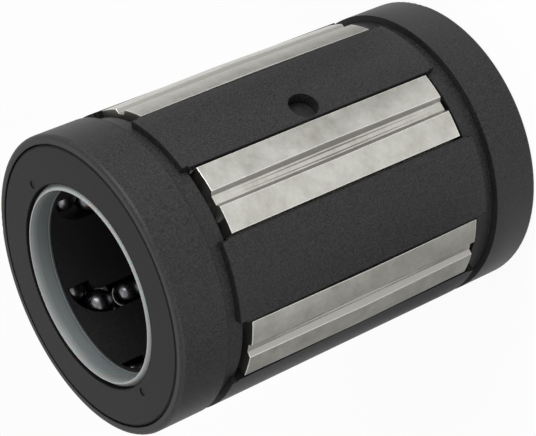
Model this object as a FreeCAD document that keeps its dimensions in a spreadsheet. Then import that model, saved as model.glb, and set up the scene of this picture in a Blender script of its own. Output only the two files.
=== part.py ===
"""Closed linear ball bearing, 25 x 40 x 58 mm, with six self-aligning steel load plates.

Millimetres and degrees. The bearing stands on its rear end: the axis is Z, the rear face lies on
Z = 0 and the front face is up. The first load plate faces -Y, the others follow counter-clockwise.
"""
import FreeCAD
import Part
import Sketcher
import math
import os

from FreeCAD import Placement, Rotation, Vector

# Driving dimensions: alias, value, what it is

SIZES = [
    ("shaft_radius", 12.5, "radius of the shaft that the bearing runs on"),
    ("bearing_length", 58.0, "overall length"),
    ("ball_diameter", 3.97, "ball, five thirty-seconds of an inch"),
    ("ball_play", 0.02, "ball to shaft"),
    ("raceway_gap", 0.03, "ball to raceway"),
    ("plate_thickness", 3.48, "load plate from the top of its raceway to its crown, which fills the housing"),
    ("crown_height", 0.1, "how far the plate crowns stand above the sleeve"),
    ("groove_inset", 6.95, "end face to the outer wall of a retaining-ring groove"),
    ("groove_width", 1.85, "width of a retaining-ring groove"),
    ("groove_depth", 1.0, "bottom of a retaining-ring groove below the plate crowns"),
    ("sleeve_wall", 1.5, "wall of the outer sleeve"),
    ("rim_wall", 1.16, "wall of the sleeve around an end cap"),
    ("rim_round", 0.55, "rounding of the sleeve's outer rims"),
    ("lube_hole_radius", 1.95, "lubrication hole at mid-length"),
    ("lube_hole_gap", 0.26, "window side to the edge of the lubrication hole"),
    ("plate_count", 6, "load plates around the shaft"),
    ("plate_width", 9.06, "width of a plate where it shows in its window"),
    ("plate_length", 36.8, "length of a plate"),
    ("plate_drop", 0.19, "fall of a plate's back from its crown to each end"),
    ("channel_width", 2.45, "channel along a plate's back, at the outside"),
    ("channel_floor", 1.2, "channel along a plate's back, at its floor"),
    ("channel_depth", 0.8, "channel along a plate's back"),
    ("hollow_width", 0.5, "trough along the channel floor, at its bottom"),
    ("hollow_depth", 0.2, "trough along the channel floor, at mid-length"),
    ("hollow_end_gap", 1.4, "plate end to where the trough runs out"),
    ("flange_overhang", 0.62, "how far a plate's foot reaches out behind the window on each side"),
    ("flange_depth", 3.0, "underside of the foot below the crown"),
    ("flange_thickness", 0.35, "foot of a plate"),
    ("boss_width", 5.4, "rib under a plate that carries the raceway"),
    ("raceway_depth", 0.72, "how far the rib comes down beside the ball"),
    ("raceway_ease", 0.075, "how much larger the raceway's radius is than the ball's"),
    ("window_gap", 0.3, "plate side to window side"),
    ("window_end_gap", 0.9, "plate end to window end"),
    ("plate_gap", 0.3, "play of a plate in the retainer"),
    ("ball_count", 23, "balls in one closed track"),
    ("ball_stagger", 2.1, "how far the balls of a track have run ahead of those in the track before"),
    ("track_gap", 0.12, "ball to track side"),
    ("track_lip", 0.45, "floor of the load row's track above the shaft"),
    ("return_offset", 6.3, "load row to return row, across the plate"),
    ("return_gap", 0.15, "return row to the sleeve's bore"),
    ("turn_wall", 0.2, "wall between the top of a turn and the seat of the seal's lip"),
    ("slot_width", 3.4, "slot through which the load balls reach the shaft"),
    ("retainer_play", 0.3, "shaft to retainer bore"),
    ("retainer_gap", 0.1, "retainer to sleeve"),
    ("cap_thickness", 2.4, "end cap"),
    ("cap_gap", 0.14, "end cap to sleeve rim"),
    ("cap_reveal", 1.13, "shaft to the edge of the end cap's opening, which shows the seal"),
    ("cap_lip", 1.1, "thickness of the end cap in front of the seal"),
    ("cap_bevel", 0.2, "bevel on the end cap's outer front edge"),
    ("mark_inset", 1.12, "edge of the end cap's opening to the middle of an ejector mark"),
    ("mark_radius", 0.5, "ejector mark"),
    ("mark_depth", 0.1, "ejector mark"),
    ("snap_inset", 1.4, "end face to the snap bead on an end cap"),
    ("snap_width", 0.6, "width of the snap bead"),
    ("snap_height", 0.28, "height of the snap bead"),
    ("snap_gap", 0.06, "snap bead to its groove in the sleeve"),
    ("seal_rim", 0.25, "shaft to the seal's front edge"),
    ("seal_throat", 0.1, "shaft to the seal's inner wall"),
    ("seal_front", 0.16, "width of the seal's front edge"),
    ("seal_slope", 0.55, "depth of the seal's sloping front"),
    ("seal_gap", 0.2, "seal to end cap, radially"),
    ("seal_flange", 1.35, "how far the seal's flange reaches behind the end cap's lip"),
    ("seal_entry", 1.0, "depth of the seal's entry cone"),
    ("seal_neck", 0.6, "wall of the seal's lip"),
    ("seal_land", 0.22, "length of the seal's lip on the shaft"),
    ("seal_step", 0.12, "length of the bevel in front of the lip"),
    ("seal_depth", 3.0, "end face to the inner end of the lip"),
    ("lip_gap", 0.1, "seal lip to retainer"),
]

doc = FreeCAD.newDocument("linear_ball_bearing")
sheet = doc.addObject("Spreadsheet::Sheet", "sizes")
for row, (alias, size, meaning) in enumerate(SIZES, start=1):
    sheet.set(f"A{row}", str(size))
    sheet.setAlias(f"A{row}", alias)
    sheet.set(f"B{row}", meaning)
doc.recompute()

# Sums of sizes: a text such as "bearing_length/2 - cap_thickness" places every sketch point


def amount(text):
    """The number that a sum of sizes stands for."""
    total = 0.0
    sign = 1.0
    for word in text.split():
        if word in ("+", "-"):
            sign = 1.0 if word == "+" else -1.0
            continue
        name, _, divisor = word.partition("/")
        value = 0.0 if name == "0" else float(sheet.get(name))
        total += sign * value / float(divisor or 1)
    return total


def formula(text):
    """The same sum as an expression on the sheet's cells."""
    return " ".join(word if word in ("+", "-", "0") else f"sizes.{word}" for word in text.split())


def plus(*sums):
    """Several sums added up."""
    signed = [text if text.startswith("-") else f"+ {text}" for text in sums]
    return " ".join(signed).removeprefix("+ ")


def minus(text):
    """A sum with every sign changed."""
    swap = {"+": "-", "-": "+"}
    words = text.split() if text.startswith("-") else ["+"] + text.split()
    return " ".join(swap.get(word, word) for word in words).removeprefix("+ ")


# Sketches and features


def sketch_on(body, plane_role, name, lift=None):
    """A sketch on one of the body's own planes, lifted off it along its normal."""
    plane = next(item for item in body.Origin.OriginFeatures if item.Role == plane_role)
    sketch = body.newObject("Sketcher::SketchObject", name)
    sketch.AttachmentSupport = [(plane, "")]
    sketch.MapMode = "FlatFace"
    if lift:
        sketch.setExpression("AttachmentOffset.Base.z", formula(lift))
    return sketch


def pin_down(sketch, kind, edge, end, text):
    """Tie one coordinate of a point to a sum of sizes, measured from the sketch's origin."""
    distance = amount(text)
    if distance > 0:
        index = sketch.addConstraint(Sketcher.Constraint(kind, -1, 1, edge, end, distance))
        sketch.setExpression(f"Constraints[{index}]", formula(text))
    elif distance < 0:
        index = sketch.addConstraint(Sketcher.Constraint(kind, edge, end, -1, 1, -distance))
        sketch.setExpression(f"Constraints[{index}]", f"-({formula(text)})")
    else:
        axis = -2 if kind == "DistanceX" else -1
        sketch.addConstraint(Sketcher.Constraint("PointOnObject", edge, end, axis))


def quarter_arc(start, end, radius):
    """The arc of a radius that runs counter-clockwise from start to end."""
    chord = end - start
    outward = Vector(chord.y, -chord.x, 0).normalize()
    rise = radius - math.sqrt(radius**2 - chord.Length**2 / 4)
    return Part.Arc(start, (start + end) * 0.5 + outward * rise, end)


def outline(sketch, corners):
    """A closed outline through corners (x, y), counter-clockwise, each a sum of sizes.

    A corner with a third item is followed by a counter-clockwise arc of that radius, and one with
    a fourth item by a clockwise arc.
    """
    points = [Vector(amount(corner[0]), amount(corner[1]), 0) for corner in corners]
    edges = []
    for index, corner in enumerate(corners):
        start = points[index]
        end = points[(index + 1) % len(points)]
        if len(corner) == 2:
            edges.append((sketch.addGeometry(Part.LineSegment(start, end)), 1, 2))
        elif len(corner) == 3:
            edges.append((sketch.addGeometry(quarter_arc(start, end, amount(corner[2]))), 1, 2))
        else:
            edges.append((sketch.addGeometry(quarter_arc(end, start, amount(corner[2]))), 2, 1))
    for index, (edge, first, last) in enumerate(edges):
        corner = corners[index]
        following, start, _ = edges[(index + 1) % len(edges)]
        sketch.addConstraint(Sketcher.Constraint("Coincident", edge, last, following, start))
        pin_down(sketch, "DistanceX", edge, first, corner[0])
        pin_down(sketch, "DistanceY", edge, first, corner[1])
        if len(corner) > 2:
            bend = sketch.addConstraint(Sketcher.Constraint("Radius", edge, amount(corner[2])))
            sketch.setExpression(f"Constraints[{bend}]", formula(corner[2]))


def rectangle(sketch, x_low, x_high, y_low, y_high):
    """A rectangle whose sides are sums of sizes."""
    outline(sketch, [(x_low, y_low), (x_high, y_low), (x_high, y_high), (x_low, y_high)])


def circle(sketch, x, y, radius):
    """A circle whose centre and radius are sums of sizes."""
    centre = Vector(amount(x), amount(y), 0)
    edge = sketch.addGeometry(Part.Circle(centre, Vector(0, 0, 1), amount(radius)))
    pin_down(sketch, "DistanceX", edge, 3, x)
    pin_down(sketch, "DistanceY", edge, 3, y)
    index = sketch.addConstraint(Sketcher.Constraint("Radius", edge, amount(radius)))
    sketch.setExpression(f"Constraints[{index}]", formula(radius))


def new_body(label):
    """An empty body."""
    body = doc.addObject("PartDesign::Body", label)
    body.Label = label
    return body


def turned(body, name, corners, kind="PartDesign::Revolution", plane_role="XZ_Plane"):
    """Material, or a cut, turned about the bearing's axis from an outline of (radius, height)."""
    sketch = sketch_on(body, plane_role, f"{name}_section")
    outline(sketch, corners)
    feature = body.newObject(kind, name)
    feature.Profile = sketch
    feature.ReferenceAxis = (sketch, ["V_Axis"])
    feature.Angle = 360
    doc.recompute()
    return feature


def milled(body, sketch, name, outward=True, length=None):
    """A pocket through everything on one side of its sketch, or to a length."""
    feature = body.newObject("PartDesign::Pocket", name)
    feature.Profile = sketch
    feature.Reversed = outward
    feature.Type = "Length" if length else "ThroughAll"
    if length:
        feature.setExpression("Length", formula(length))
    doc.recompute()
    return feature


def repeated(body, features, name):
    """The features, repeated once for each load plate around the bearing's axis."""
    pattern = body.newObject("PartDesign::PolarPattern", name)
    pattern.Originals = features
    axis = next(item for item in body.Origin.OriginFeatures if item.Role == "Z_Axis")
    pattern.Axis = (axis, [""])
    pattern.Angle = 360
    pattern.setExpression("Occurrences", "sizes.plate_count")
    body.Tip = pattern
    doc.recompute()


def rounded(body, feature, name, radius, rims):
    """A fillet on the feature's round edges, each given by its radius and height."""
    wanted = [(amount(rim_radius), amount(height)) for rim_radius, height in rims]
    edges = []
    for index, edge in enumerate(feature.Shape.Edges, start=1):
        if not isinstance(edge.Curve, Part.Circle):
            continue
        found = (edge.Curve.Radius, edge.Curve.Center.z)
        if any(math.dist(found, rim) < 1e-6 for rim in wanted):
            edges.append(f"Edge{index}")
    fillet = body.newObject("PartDesign::Fillet", name)
    fillet.Base = (feature, edges)
    fillet.setExpression("Radius", formula(radius))
    doc.recompute()
    return fillet


def at_mid_length(body, turn="0"):
    """Lift a piece that was drawn about the bearing's middle, and turn it about the axis."""
    body.Placement = Placement(Vector(0, 0, 0), Rotation(Vector(0, 0, 1), 90))
    body.setExpression("Placement.Base.z", "sizes.bearing_length / 2")
    body.setExpression("Placement.Rotation.Angle", turn)


def at_end(body, front):
    """Leave a piece that was drawn on its end face at the rear, or turn it over for the front."""
    if front:
        body.Placement = Placement(Vector(0, 0, 0), Rotation(Vector(1, 0, 0), 180))
        body.setExpression("Placement.Base.z", "sizes.bearing_length")


# Sums that several pieces share

HALF_LENGTH = "bearing_length/2"
BALL_RADIUS = "ball_diameter/2"
LOAD_HEIGHT = plus("shaft_radius + ball_play", BALL_RADIUS)
RACEWAY_TOP = plus(LOAD_HEIGHT, BALL_RADIUS, "raceway_gap")
CROWN = plus(RACEWAY_TOP, "plate_thickness")
GROOVE_BOTTOM = plus(CROWN, "- groove_depth")
SLEEVE_OUTSIDE = plus(CROWN, "- crown_height")
SLEEVE_BORE = plus(SLEEVE_OUTSIDE, "- sleeve_wall")
CAP_SEAT = plus(SLEEVE_OUTSIDE, "- rim_wall")
CAP_OUTSIDE = plus(CAP_SEAT, "- cap_gap")
CAP_OPENING = "shaft_radius + cap_reveal"
CAP_INSIDE = "bearing_length/2 - cap_thickness"
WINDOW_SIDE = "plate_width/2 + window_gap"
WINDOW_END = "plate_length/2 + window_end_gap"
FLANGE_SIDE = "plate_width/2 + flange_overhang"
FLANGE_UNDERSIDE = plus(CROWN, "- flange_depth")
BOSS_UNDERSIDE = plus(RACEWAY_TOP, "- raceway_depth")
RACEWAY_RADIUS = plus(BALL_RADIUS, "raceway_ease")
TRACK_FLOOR = "shaft_radius + track_lip"
TRACK_SIDE = plus(BALL_RADIUS, "track_gap")
LIP_FLOOR = "bearing_length/2 - seal_depth - lip_gap"
TURN_TOP = plus(LIP_FLOOR, "- turn_wall", minus(TRACK_SIDE))
TURN_START = plus(TURN_TOP, "- return_offset/2")


def outer_sleeve():
    """The moulded tube: two retaining-ring grooves, a window for each plate, a lubrication hole."""
    body = new_body("outer_sleeve")
    groove_outer = plus(HALF_LENGTH, "- groove_inset")
    groove_inner = plus(groove_outer, "- groove_width")
    snap_outer = plus(HALF_LENGTH, "- snap_inset + snap_gap")
    snap_inner = plus(HALF_LENGTH, "- snap_inset - snap_width - snap_gap")
    snap_bottom = plus(CAP_OUTSIDE, "snap_height + snap_gap")
    front_half = [
        (SLEEVE_OUTSIDE, groove_inner), (GROOVE_BOTTOM, groove_inner),
        (GROOVE_BOTTOM, groove_outer), (SLEEVE_OUTSIDE, groove_outer),
        (SLEEVE_OUTSIDE, HALF_LENGTH), (CAP_SEAT, HALF_LENGTH),
        (CAP_SEAT, snap_outer), (snap_bottom, snap_outer),
        (snap_bottom, snap_inner), (CAP_SEAT, snap_inner),
        (CAP_SEAT, CAP_INSIDE), (SLEEVE_BORE, CAP_INSIDE),
    ]
    rear_half = [(radius, minus(height)) for radius, height in reversed(front_half)]
    tube = turned(body, "tube", front_half + rear_half)
    rims = [(SLEEVE_OUTSIDE, HALF_LENGTH), (SLEEVE_OUTSIDE, minus(HALF_LENGTH))]
    rounded(body, tube, "rim_rounding", "rim_round", rims)

    window_outline = sketch_on(body, "XZ_Plane", "window_outline")
    rectangle(window_outline, minus(WINDOW_SIDE), WINDOW_SIDE, minus(WINDOW_END), WINDOW_END)
    window = milled(body, window_outline, "window")

    # Between a groove and a window the wall stays at the depth of the groove
    step_section = sketch_on(body, "YZ_Plane", "window_step_section")
    outside = minus(CROWN)
    inside = minus(GROOVE_BOTTOM)
    rectangle(step_section, outside, inside, WINDOW_END, groove_inner)
    rectangle(step_section, outside, inside, minus(groove_inner), minus(WINDOW_END))
    step = body.newObject("PartDesign::Groove", "window_step")
    step.Profile = step_section
    step.ReferenceAxis = (step_section, ["V_Axis"])
    step.Midplane = True
    step.setExpression("Angle", f"2 * asin(({formula(WINDOW_SIDE)}) / ({formula(GROOVE_BOTTOM)}))")
    doc.recompute()
    repeated(body, [window, step], "windows")

    hole_outline = sketch_on(body, "XZ_Plane", "lube_hole_outline")
    hole_outline.AttachmentOffset = Placement(Vector(0, 0, 0), Rotation(Vector(0, 1, 0), 90))
    hole_middle = plus(WINDOW_SIDE, "lube_hole_gap + lube_hole_radius")
    hole_angle = f"asin(({formula(hole_middle)}) / ({formula(CROWN)}))"
    hole_outline.setExpression("AttachmentOffset.Rotation.Angle", hole_angle)
    circle(hole_outline, "0", "0", "lube_hole_radius")
    milled(body, hole_outline, "lube_hole")
    at_mid_length(body)
    return body


def racetrack(sketch, out):
    """The outline of a closed track at a distance outside the path of the ball centres."""
    middle = "- return_offset/2"
    bend = plus("return_offset/2", out)
    far_side = minus(plus("return_offset", out))
    top = plus(TURN_TOP, out)
    start = minus(TURN_START)
    outline(sketch, [
        (out, start), (out, TURN_START, bend), (middle, top, bend),
        (far_side, TURN_START), (far_side, start, bend), (middle, minus(top), bend),
    ])


def half_track(sketch, half_width, return_side):
    """The outline of a band along one straight run and half of each turn."""
    middle = "- return_offset/2"
    wide = plus("return_offset/2", half_width)
    tight = plus("return_offset/2", minus(half_width))
    top = plus(TURN_TOP, half_width)
    inner_top = plus(TURN_TOP, minus(half_width))
    start = minus(TURN_START)
    if return_side:
        far_side = minus(plus("return_offset", half_width))
        near_side = plus("- return_offset", half_width)
        outline(sketch, [
            (far_side, TURN_START), (far_side, start, wide), (middle, minus(top)),
            (middle, minus(inner_top), tight, "clockwise"), (near_side, start),
            (near_side, TURN_START, tight, "clockwise"), (middle, inner_top), (middle, top, wide),
        ])
    else:
        outline(sketch, [
            (half_width, start), (half_width, TURN_START, wide), (middle, top),
            (middle, inner_top, tight, "clockwise"), (minus(half_width), TURN_START),
            (minus(half_width), start, tight, "clockwise"), (middle, minus(inner_top)),
            (middle, minus(top), wide),
        ])


def ball_retainer():
    """The moulded cage: closed ball tracks, slotted to the bore, under pockets for the plates."""
    body = new_body("ball_retainer")
    bore = "shaft_radius + retainer_play"
    outside = plus(SLEEVE_BORE, "- retainer_gap")
    lip_seat = "shaft_radius + seal_neck + lip_gap"
    turned(body, "cage", [
        (lip_seat, minus(CAP_INSIDE)), (outside, minus(CAP_INSIDE)),
        (outside, CAP_INSIDE), (lip_seat, CAP_INSIDE),
        (lip_seat, LIP_FLOOR), (bore, LIP_FLOOR),
        (bore, minus(LIP_FLOOR)), (lip_seat, minus(LIP_FLOOR)),
    ])

    track_outline = sketch_on(body, "XZ_Plane", "track_outline", lift=TRACK_FLOOR)
    racetrack(track_outline, TRACK_SIDE)
    racetrack(track_outline, minus(TRACK_SIDE))
    circuit = [milled(body, track_outline, "track")]

    # The return row runs deeper, and the load row's slot opens into the bore
    return_outline = sketch_on(body, "XZ_Plane", "return_outline", lift="shaft_radius")
    half_track(return_outline, TRACK_SIDE, return_side=True)
    circuit.append(milled(body, return_outline, "return_track"))
    slot_outline = sketch_on(body, "XZ_Plane", "slot_outline", lift=TRACK_FLOOR)
    half_track(slot_outline, "slot_width/2", return_side=False)
    circuit.append(milled(body, slot_outline, "slot", outward=False, length="shaft_radius/2"))

    for name, side, floor in (
        ("flange_pocket", plus(FLANGE_SIDE, "plate_gap"), plus(FLANGE_UNDERSIDE, "- plate_gap")),
        ("boss_pocket", "boss_width/2 + plate_gap", plus(BOSS_UNDERSIDE, "- plate_gap")),
    ):
        pocket_outline = sketch_on(body, "XZ_Plane", f"{name}_outline", lift=floor)
        rectangle(pocket_outline, minus(side), side, minus(WINDOW_END), WINDOW_END)
        circuit.append(milled(body, pocket_outline, name))
    repeated(body, circuit, "circuits")
    at_mid_length(body)
    return body


def load_plate(number):
    """A hardened plate: profile with two rails outside and one raceway inside, its back crowned."""
    body = new_body(f"load_plate_{number}")
    flange_top = plus(FLANGE_UNDERSIDE, "flange_thickness")
    channel_bottom = plus(CROWN, "- channel_depth")
    right_half = [
        ("boss_width/2", BOSS_UNDERSIDE), ("boss_width/2", FLANGE_UNDERSIDE),
        (FLANGE_SIDE, FLANGE_UNDERSIDE), (FLANGE_SIDE, flange_top),
        ("plate_width/2", flange_top), ("plate_width/2", CROWN),
        ("channel_width/2", CROWN), ("channel_floor/2", channel_bottom),
    ]
    left_half = [(minus(across), height) for across, height in reversed(right_half)]
    section = sketch_on(body, "XY_Plane", "section")
    outline(section, right_half + left_half)
    profile = body.newObject("PartDesign::Pad", "profile")
    profile.Profile = section
    profile.SideType = "Symmetric"
    profile.setExpression("Length", "sizes.plate_length")
    doc.recompute()

    raceway_section = sketch_on(body, "XY_Plane", "raceway_section")
    circle(raceway_section, "0", plus(RACEWAY_TOP, minus(RACEWAY_RADIUS)), RACEWAY_RADIUS)
    raceway = milled(body, raceway_section, "raceway")
    raceway.SideType = "Symmetric"

    # The back is ground to a shallow double cone, so that the plate can rock on its middle
    end = "plate_length/2"
    ground = plus(CROWN, "- plate_drop")
    waste = plus(CROWN, "plate_width/2")
    turned(body, "crown", [
        (ground, minus(end)), (waste, minus(end)), (waste, end), (ground, end), (CROWN, "0"),
    ], kind="PartDesign::Groove", plane_role="YZ_Plane")

    # A trough with sides at 45 degrees dips below the channel's floor and runs out near the ends
    hollow_end = "plate_length/2 - hollow_end_gap"
    trough_side = "hollow_width/2 + hollow_depth + hollow_depth"
    sections = []
    for place, lift, dip in (("rear", minus(hollow_end), "0"), ("middle", None, "hollow_depth"),
                             ("front", hollow_end, "0")):
        bottom = plus(channel_bottom, minus(dip))
        top = plus(bottom, "hollow_depth + hollow_depth")
        sections.append(sketch_on(body, "XY_Plane", f"hollow_section_{place}", lift=lift))
        outline(sections[-1], [
            ("- hollow_width/2", bottom), ("hollow_width/2", bottom),
            (trough_side, top), (minus(trough_side), top),
        ])
    hollow = body.newObject("PartDesign::SubtractiveLoft", "hollow")
    hollow.Profile = sections[0]
    hollow.Sections = sections[1:]
    hollow.Ruled = True
    doc.recompute()
    at_mid_length(body, turn=f"180 + 360 / sizes.plate_count * {number - 1}")
    return body


def end_cap(label, front):
    """The moulded ring that closes one end of the sleeve: snap bead around it, two ejector marks."""
    body = new_body(label)
    bead = plus(CAP_OUTSIDE, "snap_height")
    bead_end = "snap_inset + snap_width"
    seat = plus(CAP_OPENING, "seal_flange + seal_gap")
    turned(body, "ring", [
        (CAP_OPENING, "0"), (plus(CAP_OUTSIDE, "- cap_bevel"), "0"),
        (CAP_OUTSIDE, "cap_bevel"), (CAP_OUTSIDE, "snap_inset"),
        (bead, "snap_inset + snap_width/4"), (bead, plus(bead_end, "- snap_width/4")),
        (CAP_OUTSIDE, bead_end), (CAP_OUTSIDE, "cap_thickness"),
        (seat, "cap_thickness"), (seat, "cap_lip"), (CAP_OPENING, "cap_lip"),
    ])
    marks = sketch_on(body, "XY_Plane", "ejector_mark_outlines")
    mark_place = plus(CAP_OPENING, "mark_inset")
    for side in (mark_place, minus(mark_place)):
        circle(marks, side, "0", "mark_radius")
    milled(body, marks, "ejector_marks", length="mark_depth")
    at_end(body, front)
    return body


def wiper_seal(label, front):
    """The soft ring that wipes the shaft: sloping front, flange behind the end cap, inner lip."""
    body = new_body(label)
    front_edge = "shaft_radius + seal_rim"
    neck = "shaft_radius + seal_neck"
    collar = plus(CAP_OPENING, "- seal_gap")
    flange = plus(CAP_OPENING, "seal_flange")
    throat = "shaft_radius + seal_throat"
    land_start = "seal_depth - seal_land"
    turned(body, "ring", [
        (front_edge, "0"), (plus(front_edge, "seal_front"), "0"), (collar, "seal_slope"),
        (collar, "cap_lip"), (flange, "cap_lip"), (flange, "cap_thickness"),
        (neck, "cap_thickness"), (neck, "seal_depth"), ("shaft_radius", "seal_depth"),
        ("shaft_radius", land_start), (throat, plus(land_start, "- seal_step")),
        (throat, "seal_entry"),
    ])
    at_end(body, front)
    return body


# Balls: sixty-sided, since there are many of them


def ball_shape():
    """A ball with sixty triangular sides, five on each side of a dodecahedron."""
    golden = (1 + math.sqrt(5)) / 2
    radius = amount(BALL_RADIUS)
    tips = []
    corners = [Vector(x, y, z) for x in (-1, 1) for y in (-1, 1) for z in (-1, 1)]
    for a in (-1, 1):
        for b in (-1, 1):
            tips += [Vector(0, a, b * golden), Vector(a, b * golden, 0), Vector(b * golden, 0, a)]
            corners += [
                Vector(a / golden, 0, b * golden),
                Vector(0, b * golden, a / golden),
                Vector(b * golden, a / golden, 0),
            ]
    tips = [tip.normalize() * radius for tip in tips]
    corners = [corner.normalize() * radius for corner in corners]
    side = min(corner.distanceToPoint(corners[0]) for corner in corners[1:]) * 1.01
    faces = []
    for tip in tips:
        around = sorted(corners, key=tip.distanceToPoint)[:5]
        for index, first in enumerate(around):
            for second in around[index + 1:]:
                if first.distanceToPoint(second) < side:
                    faces.append(Part.Face(Part.makePolygon([tip, first, second, tip])))
    solid = Part.Solid(Part.Shell(faces))
    if solid.Volume < 0:
        solid.reverse()
    return solid


def track_point(distance):
    """Where a ball is after a distance along its track, seen from mid-length, and its row.

    The track starts at the rear end of the load row. The plate is at -Y and the return row on the
    -X side. A ball rises from the shaft in the first half of a turn.
    """
    bend = amount("return_offset/2")
    straight = amount(TURN_START)
    load_height = amount(LOAD_HEIGHT)
    return_radius = amount(plus(SLEEVE_BORE, "- return_gap - ball_diameter/2"))
    return_height = math.sqrt(return_radius**2 - amount("return_offset") ** 2)
    turn_length = math.pi * bend
    run = 2 * straight
    distance %= 2 * (run + turn_length)
    if distance < run:
        return Vector(0, -load_height, distance - straight)
    if distance < run + turn_length:
        angle = (distance - run) / bend
        end = 1
    elif distance < 2 * run + turn_length:
        return Vector(-2 * bend, -return_height, straight - (distance - run - turn_length))
    else:
        angle = math.pi - (distance - 2 * run - turn_length) / bend
        end = -1
    rise = min(angle / (math.pi / 2), 1)
    height = load_height + (return_height - load_height) * rise**2 * (3 - 2 * rise)
    return Vector(bend * (math.cos(angle) - 1), -height, end * (straight + bend * math.sin(angle)))


def ball_rows(number):
    """The balls of one track: those that carry under the plate, and those that return."""
    ball = ball_shape()
    count = round(amount("ball_count"))
    length = 4 * amount(TURN_START) + math.pi * amount("return_offset")
    ahead = (number - 1) * amount("ball_stagger")
    load_row = []
    return_row = []
    for index in range(count):
        place = track_point(ahead + index * length / count)
        under_plate = place.x == 0 and abs(place.z) < amount("plate_length/2 + ball_diameter/2")
        (load_row if under_plate else return_row).append(ball.translated(place))
    rows = []
    for label, balls in ((f"load_balls_{number}", load_row), (f"return_balls_{number}", return_row)):
        row = doc.addObject("Part::Feature", label)
        row.Shape = Part.makeCompound(balls)
        turn = 360 / amount("plate_count") * (number - 1)
        row.Placement = Placement(Vector(0, 0, amount(HALF_LENGTH)), Rotation(Vector(0, 0, 1), turn))
        rows.append(row)
    return rows


# The pieces, from the outside in

pieces = [
    outer_sleeve(),
    ball_retainer(),
    end_cap("rear_end_cap", front=False),
    end_cap("front_end_cap", front=True),
    wiper_seal("rear_wiper_seal", front=False),
    wiper_seal("front_wiper_seal", front=True),
]
for plate_number in range(1, round(amount("plate_count")) + 1):
    pieces.append(load_plate(plate_number))
    pieces += ball_rows(plate_number)
doc.recompute()

# Checks, then one file for each piece

for item in doc.Objects:
    if "Invalid" in item.State or "Error" in item.State:
        raise RuntimeError(f"{item.Label}: {item.State}")
for piece in pieces:
    if piece.Shape.isNull() or not piece.Shape.isValid():
        raise RuntimeError(f"{piece.Label}: no valid shape")

os.makedirs("parts", exist_ok=True)
for piece in pieces:
    piece.Shape.exportStep(f"parts/{piece.Label}.step")
    print(piece.Label, len(piece.Shape.Solids), round(piece.Shape.Volume, 1))
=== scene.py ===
# %% [markdown]
# # A linear ball bearing, dressed for a product photograph
#
# The bearing arrives as a finished CAD model: a black moulded sleeve, steel load plates in its
# windows, an end cap and a wiper seal at each end, and rows of balls inside. The shapes are true
# already, so this lesson is mostly about surfaces: moulded polymer, ground steel, polished balls
# and a soft translucent seal. Everything is in metres, and the bearing stands on its rear end with
# its axis along Z.

# %% Load the CAD model
import math

import bmesh
import bpy
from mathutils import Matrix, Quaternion, Vector


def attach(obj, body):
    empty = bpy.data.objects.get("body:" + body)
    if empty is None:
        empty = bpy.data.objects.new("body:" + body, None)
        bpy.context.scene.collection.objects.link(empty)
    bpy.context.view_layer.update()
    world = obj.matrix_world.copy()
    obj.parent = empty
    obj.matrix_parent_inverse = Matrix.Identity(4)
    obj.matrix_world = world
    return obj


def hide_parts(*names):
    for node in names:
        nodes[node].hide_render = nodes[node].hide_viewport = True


MM = 0.001

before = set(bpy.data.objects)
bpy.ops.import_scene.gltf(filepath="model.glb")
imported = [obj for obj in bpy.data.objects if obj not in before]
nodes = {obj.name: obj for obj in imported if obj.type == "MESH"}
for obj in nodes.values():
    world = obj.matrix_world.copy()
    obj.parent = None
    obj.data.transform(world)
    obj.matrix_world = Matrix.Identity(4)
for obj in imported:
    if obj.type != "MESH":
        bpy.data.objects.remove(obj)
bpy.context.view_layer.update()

# %% [markdown]
# ## The camera
#
# The photograph was taken with the bearing lying on its side, while the model stands on its end.
# Turning the model would break its frame, so the camera rolls instead. Its place, the point it
# looks at and its roll were measured from the ellipses of the front face and of the two ring
# grooves, and the focal length from how much the rear end shrinks.

# %% Camera at the photograph's viewing angle
CAMERA_PLACE_MM = (-44.39, -233.92, 176.63)
CAMERA_TARGET_MM = (-0.69, 1.37, 29.0)
CAMERA_ROLL_DEG = -113.19
PHOTO_WIDTH_PX = 536
FOCAL_LENGTH_PX = 2136.0
SENSOR_WIDTH_MM = 36.0
NEAREST_SEEN_MM = 1.0

camera_place = Vector(CAMERA_PLACE_MM) * MM
view_direction = (Vector(CAMERA_TARGET_MM) * MM - camera_place).normalized()
upright = view_direction.to_track_quat("-Z", "Y")
roll = Quaternion((0, 0, 1), math.radians(CAMERA_ROLL_DEG))

camera_data = bpy.data.cameras.new("photo_camera")
camera_data.sensor_width = SENSOR_WIDTH_MM
camera_data.lens = FOCAL_LENGTH_PX / PHOTO_WIDTH_PX * SENSOR_WIDTH_MM
camera_data.clip_start = NEAREST_SEEN_MM * MM
camera = bpy.data.objects.new("photo_camera", camera_data)
camera.location = camera_place
camera.rotation_mode = "QUATERNION"
camera.rotation_quaternion = upright @ roll
bpy.context.scene.collection.objects.link(camera)
bpy.context.scene.camera = camera
print("Lens:", round(camera_data.lens, 1), "mm")

# %% [markdown]
# ## How a material is put together
#
# Colours are written as the hex values that a colour picker shows, which are sRGB. Blender's
# sockets want linear light, so one function converts them. A second small function adds a node,
# sets it up and links it, which keeps each material down to a few readable lines. Pattern scales
# come from a real size: a texture of scale 1 repeats about once per metre, so a grain of a quarter
# of a millimetre needs a scale of 4000.

# %% Colour and node helpers


def linear(hex_colour):
    """An sRGB hex colour as linear RGBA, by the sRGB formula."""
    channels = [int(hex_colour[i:i + 2], 16) / 255 for i in (1, 3, 5)]
    light = [c / 12.92 if c <= 0.04045 else ((c + 0.055) / 1.055) ** 2.4 for c in channels]
    return (*light, 1.0)


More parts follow.
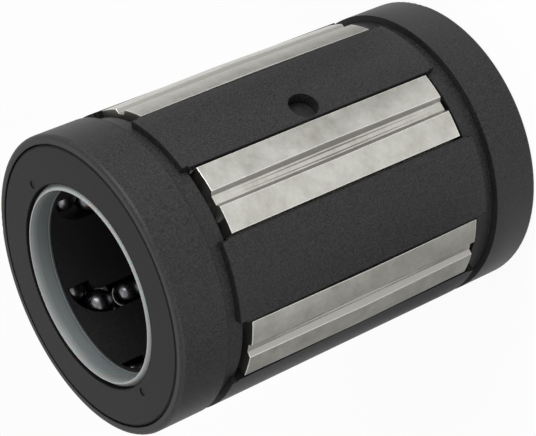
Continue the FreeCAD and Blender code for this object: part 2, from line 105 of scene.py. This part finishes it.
def add_node(tree, kind, inputs=None, **settings):
    """Add a node with its settings; each input is a value, or an output socket to link."""
    node = tree.nodes.new(kind)
    for name, value in settings.items():
        setattr(node, name, value)
    for name, value in (inputs or {}).items():
        if isinstance(value, bpy.types.NodeSocket):
            tree.links.new(value, node.inputs[name])
        else:
            node.inputs[name].default_value = value
    return node


print("Mid grey #808080 is", round(linear("#808080")[0], 3), "in linear light")

# %% Material and scale helpers


def per_metre(size_mm):
    """The texture scale at which a pattern repeats every size_mm."""
    return 1 / (size_mm * MM)


def new_material(name, **sockets):
    """A material whose shader has these plain socket values, such as Base_Color."""
    material = bpy.data.materials.new(name)
    material.use_nodes = True
    shader = material.node_tree.nodes["Principled BSDF"]
    for socket, value in sockets.items():
        shader.inputs[socket.replace("_", " ")].default_value = value
    return material, material.node_tree, shader


# The Mix node has sockets for each kind of value; by number, these are the ones for colours
MIX_SHARE = 0
MIX_FROM = 6
MIX_TO = 7
MIX_RESULT = 2
print("A pattern of 0.25 mm has scale", round(per_metre(0.25)))

# %% [markdown]
# ## Finding the edges of a piece
#
# The edges of a piece carry painted light here: a dark line of painted shade along the edges of a
# moulding, and a thin line of painted highlight along the outer edges of a steel plate. Cutting a
# real bevel on every edge would cost many faces. The Bevel node gives the normal that each point
# would have if the edges were round. Where that normal has turned away from the true one, an edge
# is near, and the turn becomes a mask from 0 to 1.

# %% Finding the edges of a piece
EDGE_COSINES = (0.995, 0.95)


def near_edges(tree, width_mm):
    """1 on the edges of a piece and 0 from about width_mm away from them."""
    rounded = add_node(tree, "ShaderNodeBevel", {"Radius": width_mm * MM})
    true_normal = add_node(tree, "ShaderNodeNewGeometry").outputs["Normal"]
    agreement = add_node(tree, "ShaderNodeVectorMath", {
        0: rounded.outputs["Normal"], 1: true_normal,
    }, operation="DOT_PRODUCT")
    return add_node(tree, "ShaderNodeMapRange", {
        "Value": agreement.outputs["Value"],
        "From Min": EDGE_COSINES[0], "From Max": EDGE_COSINES[1],
    }).outputs["Result"]


turns = [round(math.degrees(math.acos(cosine))) for cosine in EDGE_COSINES]
print("The edge mask rises from a turn of", turns[0], "degrees to one of", turns[1])

# %% [markdown]
# ## Moulded polyamide: the grain
#
# Sleeve, end caps and cage are injection-moulded in black polyamide. The mould was spark-eroded, so
# the surface carries a very fine grain that breaks up reflections: the black reads as a soft
# charcoal. Displacing the mesh that finely would take millions of faces, so a bump from two noises
# does it, one for the grain and one for the slow waviness of a moulded wall. Real grain is near a
# tenth of a millimetre, less than a pixel here, so it is drawn coarse enough to show. Moulded edges
# are never razor sharp, and a fine Bevel node rounds the normals along them.

# %% Moulded polyamide: the grain
GRAIN_DEPTH_MM = 0.04
WALL_WAVE_MM = 6.0
WAVE_DEPTH_MM = 0.1
MOULDED_EDGE_MM = 0.15


def mould_grain(tree, grain_mm):
    """The grain of the mould as a pattern from 0 to 1, and the normal that it gives the wall."""
    place = add_node(tree, "ShaderNodeTexCoord").outputs["Object"]
    grain = add_node(tree, "ShaderNodeTexNoise", {
        "Vector": place, "Scale": per_metre(grain_mm), "Detail": 3.0, "Roughness": 0.6,
    }).outputs["Fac"]
    wave = add_node(tree, "ShaderNodeTexNoise", {
        "Vector": place, "Scale": per_metre(WALL_WAVE_MM), "Detail": 2.0,
    }).outputs["Fac"]
    rounded = add_node(tree, "ShaderNodeBevel", {"Radius": MOULDED_EDGE_MM * MM})
    wavy = add_node(tree, "ShaderNodeBump", {
        "Height": wave, "Strength": 0.15, "Distance": WAVE_DEPTH_MM * MM,
        "Normal": rounded.outputs["Normal"],
    })
    grained = add_node(tree, "ShaderNodeBump", {
        "Height": grain, "Strength": 0.8, "Distance": GRAIN_DEPTH_MM * MM,
        "Normal": wavy.outputs["Normal"],
    })
    return grain, grained.outputs["Normal"]


print("Grain", GRAIN_DEPTH_MM, "mm deep on waves", WALL_WAVE_MM, "mm long")

# %% [markdown]
# ## Moulded polyamide: colour, gloss and painted edge shade
#
# The peaks of the grain are scuffed in handling and look a shade paler and duller than its pits, so
# the same noise drives colour and roughness, which keeps the three in step. Along every edge the
# colour goes to black and the roughness up: a fine line of painted shade, standing in for the contact
# shadow at the rim of a groove or window and in inner corners. The three mouldings differ a little:
# the sleeve has the palest peaks, the caps mirror the least, and the cage inside is the most even in
# tone.

# %% Moulded polyamide: colour, gloss and painted edge shade
POLYAMIDE_IOR = 1.53
GRAIN_MIDDLE = (0.3, 0.7)
PIT_ROUGHNESS = 0.42
PEAK_ROUGHNESS = 0.58
PIT_LEVEL = 0.35
PEAK_LEVEL = 0.68
PAINTED_SHADE_EDGE_MM = 0.25


def moulded_polyamide(name, pit_colour, peak_colour, specular, grain_mm):
    """Black moulded polymer with the fine grain of a spark-eroded mould, and painted shade along its
    edges.
    """
    material, tree, shader = new_material(name, IOR=POLYAMIDE_IOR, Specular_IOR_Level=specular)
    grain, grained_normal = mould_grain(tree, grain_mm)
    tone = add_node(tree, "ShaderNodeValToRGB", {"Fac": grain})
    tone.color_ramp.elements[0].position = PIT_LEVEL
    tone.color_ramp.elements[0].color = linear(pit_colour)
    tone.color_ramp.elements[1].position = PEAK_LEVEL
    tone.color_ramp.elements[1].color = linear(peak_colour)
    scuffed = add_node(tree, "ShaderNodeMapRange", {
        "Value": grain, "From Min": GRAIN_MIDDLE[0], "From Max": GRAIN_MIDDLE[1],
        "To Min": PIT_ROUGHNESS, "To Max": PEAK_ROUGHNESS,
    })
    # Painted shade: every edge of the moulding goes to black, as a contact shadow along the rim of a
    # groove or window and in inner corners
    painted_shade_edge = near_edges(tree, PAINTED_SHADE_EDGE_MM)
    shade_lined_tone = add_node(tree, "ShaderNodeMix", {
        MIX_SHARE: painted_shade_edge, MIX_FROM: tone.outputs["Color"], MIX_TO: linear("#000000"),
    }, data_type="RGBA")
    duller = add_node(tree, "ShaderNodeMath", {
        0: scuffed.outputs["Result"], 1: painted_shade_edge,
    }, operation="MAXIMUM")
    tree.links.new(shade_lined_tone.outputs[MIX_RESULT], shader.inputs["Base Color"])
    tree.links.new(duller.outputs["Value"], shader.inputs["Roughness"])
    tree.links.new(grained_normal, shader.inputs["Normal"])
    return material


sleeve_polyamide = moulded_polyamide(
    "black_polyamide_grained", "#060606", "#282828", specular=0.3, grain_mm=0.25,
)
cap_polyamide = moulded_polyamide(
    "black_polyamide_end_cap", "#0A0909", "#171616", specular=0.15, grain_mm=0.26,
)
cage_polyamide = moulded_polyamide(
    "black_polyamide_cage", "#141313", "#1E1C1C", specular=0.32, grain_mm=0.26,
)
print("Made", sleeve_polyamide.name, cap_polyamide.name, cage_polyamide.name)

# %% [markdown]
# ## Wiper seal elastomer
#
# The seal is a soft moulded polyurethane ring, grey with a hint of blue. It is slightly translucent.
# Full volume scattering would be slow and hard to see on a ring under three millimetres deep, so the
# shader's own subsurface term softens it. A ramp along the axis paints light into the colour: a
# painted highlight on the thin rim at its mouth, and painted shade deeper in, towards the lip, at
# both ends of the bearing alike.

# %% Wiper seal elastomer: painted highlight at the rim, painted shade towards the lip
HALF_LENGTH_MM = 29.0
SEAL_FADE_MM = 3.0
SEAL_SCATTER_MM = 0.6

seal_elastomer, seal_tree, seal_shader = new_material(
    "grey_polyurethane_seal", Roughness=0.38, IOR=1.5,
    Subsurface_Weight=0.3, Subsurface_Scale=SEAL_SCATTER_MM * MM,
)
seal_place = add_node(seal_tree, "ShaderNodeTexCoord").outputs["Object"]
seal_axes = add_node(seal_tree, "ShaderNodeSeparateXYZ", {"Vector": seal_place})
above_middle = add_node(seal_tree, "ShaderNodeMath", {
    0: seal_axes.outputs["Z"], 1: HALF_LENGTH_MM * MM,
}, operation="SUBTRACT")
from_middle = add_node(seal_tree, "ShaderNodeMath", {
    0: above_middle.outputs["Value"],
}, operation="ABSOLUTE")
rim = add_node(seal_tree, "ShaderNodeMapRange", {
    "Value": from_middle.outputs["Value"],
    "From Min": (HALF_LENGTH_MM - SEAL_FADE_MM) * MM, "From Max": HALF_LENGTH_MM * MM,
})
# Painted light: the ramp is pale at the rim of the mouth, a painted highlight, and dark towards the
# lip, painted shade deeper in the bore; the stops between hold the seal's own grey
seal_tone = add_node(seal_tree, "ShaderNodeValToRGB", {"Fac": rim.outputs["Result"]})
seal_tone.color_ramp.elements[0].color = linear("#363A3B")
seal_tone.color_ramp.elements[1].color = linear("#999D9C")
seal_tone.color_ramp.elements.new(0.2).color = linear("#696F70")
seal_tone.color_ramp.elements.new(0.75).color = linear("#737878")
seal_tree.links.new(seal_tone.outputs["Color"], seal_shader.inputs["Base Color"])
print("Made", seal_elastomer.name, "with", len(seal_tone.color_ramp.elements), "tones")

# %% Wiper seal elastomer: the slight unevenness of a soft moulding
SEAL_HAZE_MM = 1.5
SEAL_HAZE_DEPTH_MM = 0.05

seal_haze = add_node(seal_tree, "ShaderNodeTexNoise", {
    "Vector": seal_place, "Scale": per_metre(SEAL_HAZE_MM), "Detail": 3.0,
})
seal_bump = add_node(seal_tree, "ShaderNodeBump", {
    "Height": seal_haze.outputs["Fac"], "Strength": 0.1, "Distance": SEAL_HAZE_DEPTH_MM * MM,
})
seal_tree.links.new(seal_bump.outputs["Normal"], seal_shader.inputs["Normal"])
print("Seal haze of", SEAL_HAZE_MM, "mm")

# %% [markdown]
# ## Ground bearing steel: which faces are ground
#
# The load plates are cut from a drawn bar, hardened, and ground on their flats, which gives the eye
# a bright satin there and a duller grey elsewhere. Splitting the mesh by face would work too, but a
# mask follows the shape by itself. The angle between a surface and the outward direction tells the
# flats from the flanks of the channel and the cut ends. The underside with the raceway is dark with
# grease, and the distance from the bearing's axis tells it apart.

# %% Ground bearing steel: which faces are ground
ACROSS_THE_AXIS = (1, 1, 0)
FLAT_COSINES = (0.75, 0.92)
GREASED_MM = (17.2, 17.9)
FLANK_TONE = 0.3

plate_steel, steel_tree, steel_shader = new_material("ground_bearing_steel", Metallic=1.0)
steel_coordinates = add_node(steel_tree, "ShaderNodeTexCoord").outputs
steel_place = steel_coordinates["Object"]
off_axis = add_node(steel_tree, "ShaderNodeVectorMath", {
    0: steel_place, 1: ACROSS_THE_AXIS,
}, operation="MULTIPLY").outputs["Vector"]
outward = add_node(steel_tree, "ShaderNodeVectorMath", {0: off_axis}, operation="NORMALIZE")
facing = add_node(steel_tree, "ShaderNodeVectorMath", {
    0: outward.outputs["Vector"], 1: steel_coordinates["Normal"],
}, operation="DOT_PRODUCT")
flats = add_node(steel_tree, "ShaderNodeMapRange", {
    "Value": facing.outputs["Value"], "From Min": FLAT_COSINES[0], "From Max": FLAT_COSINES[1],
})
from_axis = add_node(steel_tree, "ShaderNodeVectorMath", {
    0: off_axis,
}, operation="LENGTH").outputs["Value"]
clean = add_node(steel_tree, "ShaderNodeMapRange", {
    "Value": from_axis,
    "From Min": GREASED_MM[0] * MM, "From Max": GREASED_MM[1] * MM, "To Max": FLANK_TONE,
})
print("Made", plate_steel.name, "with grease below", GREASED_MM[0], "mm from the axis")

# %% [markdown]
# ## Ground bearing steel: tone
#
# Heat treatment leaves faint cloudy patches on the steel. A noise with many finer octaves gives
# them, and moves the tone of the flats and the roughness together, so that a darker cloud is also a
# little glossier. One ramp then holds all the tones in order: grease, flank, dark cloud, bright flat.

# %% Ground bearing steel: tone
CLOUD_MM = 4.0
CLOUD_MIDDLE = (0.33, 0.67)
CLOUD_TONES = (0.3, 0.7)
SATIN_MIDDLE = (0.3, 0.7)
SATIN_ROUGHNESS = (0.3, 0.4)

clouds = add_node(steel_tree, "ShaderNodeTexNoise", {
    "Vector": steel_place, "Scale": per_metre(CLOUD_MM), "Detail": 8.0, "Roughness": 0.75,
}).outputs["Fac"]
cloudy = add_node(steel_tree, "ShaderNodeMapRange", {
    "Value": clouds, "From Min": CLOUD_MIDDLE[0], "From Max": CLOUD_MIDDLE[1],
    "To Min": CLOUD_TONES[0], "To Max": CLOUD_TONES[1],
})
ground = add_node(steel_tree, "ShaderNodeMath", {
    0: cloudy.outputs["Result"], 1: flats.outputs["Result"], 2: clean.outputs["Result"],
}, operation="MULTIPLY_ADD")
steel_tone = add_node(steel_tree, "ShaderNodeValToRGB", {"Fac": ground.outputs["Value"]})
steel_tone.color_ramp.elements[0].color = linear("#242320")
steel_tone.color_ramp.elements[1].color = linear("#CECDC7")
steel_tone.color_ramp.elements.new(FLANK_TONE).color = linear("#AAA8A3")
steel_tone.color_ramp.elements.new(FLANK_TONE + CLOUD_TONES[0]).color = linear("#B1AFA6")
satin = add_node(steel_tree, "ShaderNodeMapRange", {
    "Value": clouds, "From Min": SATIN_MIDDLE[0], "From Max": SATIN_MIDDLE[1],
    "To Min": SATIN_ROUGHNESS[0], "To Max": SATIN_ROUGHNESS[1],
})
steel_tree.links.new(satin.outputs["Result"], steel_shader.inputs["Roughness"])
print("Steel tones at", [round(stop.position, 2) for stop in steel_tone.color_ramp.elements])

# %% [markdown]
# ## Ground bearing steel: painted edge highlights and grind lines
#
# Tumbling breaks the plates' outer edges, and a fine Bevel node rounds the normals there. The thin
# light line round each flat is painted highlight: near the outer edges the colour goes to a near
# white, as a broken edge catching the light would look. The edge mask finds them, and the distance
# from the axis leaves out the edges at the bottom of the channel. Grinding leaves fine scratches that
# all run along the plate: a noise stretched along Z gives them. Real ones are a hundredth of a
# millimetre wide, so they are drawn coarse enough to show.

# %% Ground bearing steel: painted edge highlights and grind lines
PAINTED_HIGHLIGHT_EDGE_MM = 0.22
OUTER_EDGE_MM = (19.3, 19.6)
TUMBLED_EDGE_MM = 0.12
GRIND_LINE_MM = 0.12
GRIND_LENGTH_MM = 6.0
GRIND_DEPTH_MM = 0.01

# Painted highlight: near the plates' outer edges the base colour goes to a near white, as a broken
# edge catching the light
outside = add_node(steel_tree, "ShaderNodeMapRange", {
    "Value": from_axis,
    "From Min": OUTER_EDGE_MM[0] * MM, "From Max": OUTER_EDGE_MM[1] * MM,
})
painted_highlight = add_node(steel_tree, "ShaderNodeMath", {
    0: near_edges(steel_tree, PAINTED_HIGHLIGHT_EDGE_MM), 1: outside.outputs["Result"],
}, operation="MULTIPLY")
bright = add_node(steel_tree, "ShaderNodeMix", {
    MIX_SHARE: painted_highlight.outputs["Value"],
    MIX_FROM: steel_tone.outputs["Color"], MIX_TO: linear("#F2F1EC"),
}, data_type="RGBA")
stretched = add_node(steel_tree, "ShaderNodeMapping", {
    "Vector": steel_place,
    "Scale": (per_metre(GRIND_LINE_MM), per_metre(GRIND_LINE_MM), per_metre(GRIND_LENGTH_MM)),
})
lines = add_node(steel_tree, "ShaderNodeTexNoise", {
    "Vector": stretched.outputs["Vector"], "Scale": 1.0, "Detail": 2.0,
})
tumbled = add_node(steel_tree, "ShaderNodeBevel", {"Radius": TUMBLED_EDGE_MM * MM})
scratches = add_node(steel_tree, "ShaderNodeBump", {
    "Height": lines.outputs["Fac"], "Strength": 0.25, "Distance": GRIND_DEPTH_MM * MM,
    "Normal": tumbled.outputs["Normal"],
})
steel_tree.links.new(bright.outputs[MIX_RESULT], steel_shader.inputs["Base Color"])
steel_tree.links.new(scratches.outputs["Normal"], steel_shader.inputs["Normal"])
print("Grind lines", GRIND_LINE_MM, "mm wide, worn edges", PAINTED_HIGHLIGHT_EDGE_MM, "mm wide")

# %% [markdown]
# ## Polished ball steel
#
# Bearing balls are lapped to a mirror. What they show is mostly the dark cage around them, with one
# small highlight from the mouth of the bore. A plain mirror would be too crisp: a film of grease
# lies on them and softens that highlight. Its thickness varies, so a noise varies the roughness.

# %% Polished ball steel
GREASE_PATCH_MM = 1.2
GREASE_MIDDLE = (0.35, 0.65)
GREASE_ROUGHNESS = (0.24, 0.32)

# Partly painted shade: the steel's grey is set well below that of real ball steel, to dim the balls
# as the shaded bore does
ball_steel, ball_tree, ball_shader = new_material(
    "polished_ball_steel", Base_Color=linear("#68686B"), Metallic=1.0,
)
ball_place = add_node(ball_tree, "ShaderNodeTexCoord").outputs["Object"]
grease = add_node(ball_tree, "ShaderNodeTexNoise", {
    "Vector": ball_place, "Scale": per_metre(GREASE_PATCH_MM), "Detail": 2.0,
})
film = add_node(ball_tree, "ShaderNodeMapRange", {
    "Value": grease.outputs["Fac"], "From Min": GREASE_MIDDLE[0], "From Max": GREASE_MIDDLE[1],
    "To Min": GREASE_ROUGHNESS[0], "To Max": GREASE_ROUGHNESS[1],
})
ball_tree.links.new(film.outputs["Result"], ball_shader.inputs["Roughness"])
print("Made", ball_steel.name)

# %% [markdown]
# ## Dressing the CAD pieces
#
# The CAD shapes are the real ones, so they are not modelled again. Each gets its finish by its name,
# and every material slot that came with the model is replaced.

# %% Finishes for the CAD pieces
FINISHES = {
    "outer_sleeve": sleeve_polyamide,
    "ball_retainer": cage_polyamide,
    "front_end_cap": cap_polyamide,
    "rear_end_cap": cap_polyamide,
    "front_wiper_seal": seal_elastomer,
    "rear_wiper_seal": seal_elastomer,
}
PLATE_NUMBERS = range(1, 7)
for number in PLATE_NUMBERS:
    FINISHES[f"load_plate_{number}"] = plate_steel

for name, material in FINISHES.items():
    nodes[name].data.materials.clear()
    nodes[name].data.materials.append(material)
print("Dressed", len(FINISHES), "CAD pieces")

# %% [markdown]
# ## Where the balls are
#
# The CAD model keeps each ball to sixty flat sides. For the eye they have to be round, so each row
# is replaced by smooth balls in the same places. Writing those places down again could drift from
# the model, so they are read from its mesh: once its split corners are welded, each ball is one
# island of points, and the mean of an island is the ball's centre.

# %% Where the balls are
WELD_MM = 0.01


def ball_centres(node):
    """The centre of each separate ball in a CAD row."""
    mesh = bmesh.new()
    mesh.from_mesh(node.data)
    bmesh.ops.remove_doubles(mesh, verts=mesh.verts, dist=WELD_MM * MM)
    waiting = set(mesh.verts)
    centres = []
    while waiting:
        island = {waiting.pop()}
        edge_of_island = list(island)
        while edge_of_island:
            corner = edge_of_island.pop()
            found = {edge.other_vert(corner) for edge in corner.link_edges} & waiting
            waiting -= found
            island |= found
            edge_of_island += found
        centres.append(sum((corner.co for corner in island), Vector()) / len(island))
    mesh.free()
    return centres


print("Balls in the first load row:", len(ball_centres(nodes["load_balls_1"])))

# %% [markdown]
# ## Round balls
#
# A ball is an icosphere with smooth shading, because its triangles are all of a size and no pole
# shows in the highlight. The load rows ride with their plates when these rock, and the return rows
# stay with the housing.

# %% Round balls in the places of the CAD balls
BALL_DIAMETER_MM = 3.97
BALL_DETAIL = 4


def round_balls(row, body):
    """Smooth balls that stand for one CAD row and ride on its body."""
    mesh = bmesh.new()
    for centre in ball_centres(nodes[row]):
        ball = bmesh.ops.create_icosphere(
            mesh, subdivisions=BALL_DETAIL, radius=BALL_DIAMETER_MM / 2 * MM,
        )
        bmesh.ops.translate(mesh, verts=ball["verts"], vec=centre)
    for face in mesh.faces:
        face.smooth = True
    data = bpy.data.meshes.new(f"round_{row}")
    mesh.to_mesh(data)
    mesh.free()
    data.materials.append(ball_steel)
    piece = bpy.data.objects.new(f"round_{row}", data)
    bpy.context.scene.collection.objects.link(piece)
    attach(piece, body)
    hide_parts(row)
    return piece


for number in PLATE_NUMBERS:
    load_row = round_balls(f"load_balls_{number}", f"plate_{number}")
    return_row = round_balls(f"return_balls_{number}", "housing")
    print(load_row.name, len(load_row.data.polygons), return_row.name, len(return_row.data.polygons))

# %% [markdown]
# ## White floor
#
# The photograph has a pure white ground. Painting the floor white is not enough, because it would
# need far more light than the bearing. Instead the floor gives off white light to the camera and to
# reflections, while the bearing itself is lit at a plain level. A share of the floor stays ordinary
# white paper, so that the bearing's shadow still shows on it.

# %% White floor: who sees its light
SHADOW_SHARE = 0.08


def seen_directly(tree):
    """1 for rays of the camera, of reflections and of clear materials, and 0 for the rest."""
    path = add_node(tree, "ShaderNodeLightPath").outputs
    eye_or_mirror = add_node(tree, "ShaderNodeMath", {
        0: path["Is Camera Ray"], 1: path["Is Glossy Ray"],
    }, operation="MAXIMUM")
    return add_node(tree, "ShaderNodeMath", {
        0: eye_or_mirror.outputs["Value"], 1: path["Is Transmission Ray"],
    }, operation="MAXIMUM").outputs["Value"]


floor_paper, floor_tree, floor_shader = new_material(
    "white_studio_paper", Base_Color=linear("#F2F2F2"), Roughness=0.9,
)
white_light = add_node(floor_tree, "ShaderNodeEmission", {"Strength": 1.0})
glow = add_node(floor_tree, "ShaderNodeMath", {
    0: seen_directly(floor_tree), 1: 1 - SHADOW_SHARE,
}, operation="MULTIPLY")
floor_mix = add_node(floor_tree, "ShaderNodeMixShader", {
    0: glow.outputs["Value"], 1: floor_shader.outputs["BSDF"], 2: white_light.outputs["Emission"],
})
floor_output = floor_tree.nodes["Material Output"]
floor_tree.links.new(floor_mix.outputs["Shader"], floor_output.inputs["Surface"])
print("Made", floor_paper.name, "with", SHADOW_SHARE, "left for the shadow")

# %% White floor: the sheet
FLOOR_SIZE_MM = 4000.0

floor_mesh = bmesh.new()
bmesh.ops.create_grid(floor_mesh, x_segments=1, y_segments=1, size=FLOOR_SIZE_MM / 2 * MM)
floor_data = bpy.data.meshes.new("studio_floor")
floor_mesh.to_mesh(floor_data)
floor_mesh.free()
floor_data.materials.append(floor_paper)
floor = bpy.data.objects.new("studio_floor", floor_data)
bpy.context.scene.collection.objects.link(floor)
print("Floor", FLOOR_SIZE_MM / 1000, "m wide")

# %% [markdown]
# ## White surroundings
#
# A product photograph is taken inside a white tent. A modelled tent would have to stand clear of
# every view, so the world itself is the tent: white where it is seen or mirrored, and a weaker light
# for everything else, which leaves the lamps room to shape the bearing.

# %% White surroundings
WORLD_LIGHT = 0.55

world = bpy.data.worlds.new("white_studio")
world.use_nodes = True
bpy.context.scene.world = world
world_tree = world.node_tree
world_strength = add_node(world_tree, "ShaderNodeMapRange", {
    "Value": seen_directly(world_tree), "To Min": WORLD_LIGHT, "To Max": 1.0,
})
backdrop = world_tree.nodes["Background"]
backdrop.inputs["Color"].default_value = linear("#FFFFFF")
world_tree.links.new(world_strength.outputs["Result"], backdrop.inputs["Strength"])
bpy.context.scene.view_settings.view_transform = "Standard"
print("World light", WORLD_LIGHT)

# %% [markdown]
# ## Grey cards
#
# Bright metal shows what stands round it. In an all-white room a ground plate has no shape, so a
# photographer lays grey cards beside it: the plate that faces the open floor stays bright, and one
# that faces a card goes darker. The cards here lie on the floor and are seen by reflections only, so
# they stay out of every picture and shade nothing. Each is cut to the patch of floor that its plate
# and the sleeve beside it mirror to the camera.

# %% Grey cards beside the bearing
CARDS_MM = {
    "left_card": [(-25, -35), (-25, 20), (-62, 80), (-200, 180), (-200, -35)],
    "front_card": [(10, -32), (39, -98), (62, -92), (16, -27)],
    "right_card": [(24, -20), (110, -58), (120, 40), (24, -6)],
}
CARD_LIFT_MM = 0.2

card_paper = new_material("grey_card", Base_Color=linear("#A6A6A6"), Roughness=0.9)[0]
for name, corners in CARDS_MM.items():
    card_mesh = bmesh.new()
    card_mesh.faces.new([
        card_mesh.verts.new((x * MM, y * MM, CARD_LIFT_MM * MM)) for x, y in corners
    ])
    card_data = bpy.data.meshes.new(name)
    card_mesh.to_mesh(card_data)
    card_mesh.free()
    card_data.materials.append(card_paper)
    card = bpy.data.objects.new(name, card_data)
    card.visible_camera = False
    card.visible_diffuse = False
    card.visible_shadow = False
    bpy.context.scene.collection.objects.link(card)
    print(name, [round(x * 1000) for x in card.dimensions[:2]], "mm")

# %% [markdown]
# ## Lamps
#
# Three soft boxes light the bearing, as in a small studio: a key lamp from the front right, a weak
# fill from the left and a faint one from above. A point lamp would give hard shadows and pin-prick
# highlights, and an area lamp is what a soft box is, a glowing square. Together with the world they
# light the bearing at a plain level: a mid grey of 128 comes out at about 140 on it.

# %% Lamps: name, place in mm, size in mm, watts
LAMPS = [
    ("key_softbox", (190, -260, 150), 220, 1.0),
    ("fill_softbox", (-260, -150, 120), 240, 0.25),
    ("top_softbox", (-20, -60, 360), 220, 0.15),
]
BEARING_MIDDLE_MM = Vector((0, 0, HALF_LENGTH_MM))

for name, place_mm, size_mm, watts in LAMPS:
    lamp_data = bpy.data.lights.new(name, "AREA")
    lamp_data.shape = "SQUARE"
    lamp_data.size = size_mm * MM
    lamp_data.energy = watts
    lamp = bpy.data.objects.new(name, lamp_data)
    lamp.location = Vector(place_mm) * MM
    towards = BEARING_MIDDLE_MM - Vector(place_mm)
    lamp.rotation_mode = "QUATERNION"
    lamp.rotation_quaternion = towards.to_track_quat("-Z", "Y")
    bpy.context.scene.collection.objects.link(lamp)
    print(name, watts, "W")
